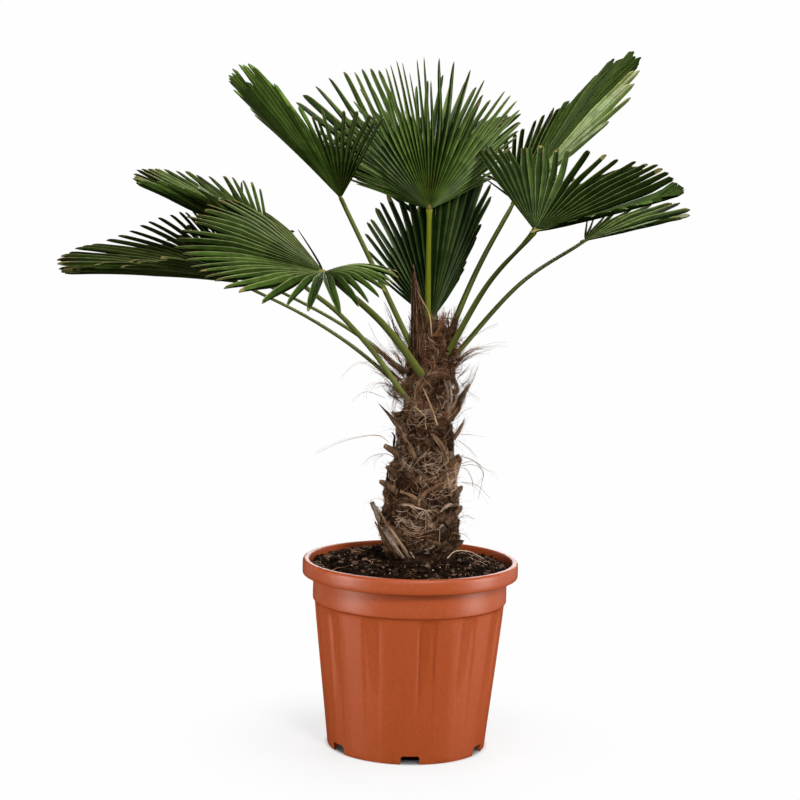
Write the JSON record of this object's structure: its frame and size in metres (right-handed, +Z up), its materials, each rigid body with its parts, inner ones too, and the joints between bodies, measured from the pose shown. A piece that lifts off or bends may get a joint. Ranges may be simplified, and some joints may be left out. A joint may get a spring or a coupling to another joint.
{
  "type": "potted wagner windmill palm",
  "caption": "Small windmill palm with a fibre-clad tapering trunk and stiff pleated fan leaves on long stalks, growing in a round terracotta-coloured plastic pot.",
  "frame": {"origin": "centre of the pot's flat underside", "axes": "+Z up along the plant, -Y towards the viewer of the picture, +X to that viewer's right"},
  "size_m": [0.9536, 0.8159, 1.0412],
  "materials": {
    "pot_plastic": "satin",
    "potting_soil": "matte",
    "trunk_fibre": "matte",
    "leaf_stalk": "satin",
    "fan_leaf": "satin"
  },
  "bodies": {
    "root": {"fan_back_centre_left": "fan_leaf", "fan_back_centre_right": "fan_leaf", "fan_back_high_left": "fan_leaf", "fan_back_high_right": "fan_leaf", "fan_back_left_left": "fan_leaf", "fan_back_left_right": "fan_leaf", "fan_back_low_left": "fan_leaf", "fan_back_low_right": "fan_leaf", "fan_back_right_left": "fan_leaf", "fan_back_right_right": "fan_leaf", "fan_centre_left": "fan_leaf", "fan_centre_right": "fan_leaf", "fan_front_centre_left": "fan_leaf", "fan_front_centre_right": "fan_leaf", "fan_left_far_left": "fan_leaf", "fan_left_far_right": "fan_leaf", "fan_left_front_left": "fan_leaf", "fan_left_front_right": "fan_leaf", "fan_left_middle_left": "fan_leaf", "fan_left_middle_right": "fan_leaf", "fan_right_far_left": "fan_leaf", "fan_right_far_right": "fan_leaf", "fan_right_front_left": "fan_leaf", "fan_right_front_right": "fan_leaf", "fan_upper_left_left": "fan_leaf", "fan_upper_left_right": "fan_leaf", "fan_upper_right_left": "fan_leaf", "fan_upper_right_right": "fan_leaf", "pot": "pot_plastic", "soil": "potting_soil", "stalk_back_centre": "leaf_stalk", "stalk_back_high": "leaf_stalk", "stalk_back_left": "leaf_stalk", "stalk_back_low": "leaf_stalk", "stalk_back_right": "leaf_stalk", "stalk_front_centre": "leaf_stalk", "stalk_left_far": "leaf_stalk", "stalk_left_front": "leaf_stalk", "stalk_left_middle": "leaf_stalk", "stalk_right_far": "leaf_stalk", "stalk_right_front": "leaf_stalk", "stalk_upper_left": "leaf_stalk", "stalk_upper_right": "leaf_stalk", "trunk": "trunk_fibre", "stalk_centre": "leaf_stalk"}
  },
  "joints": []
}
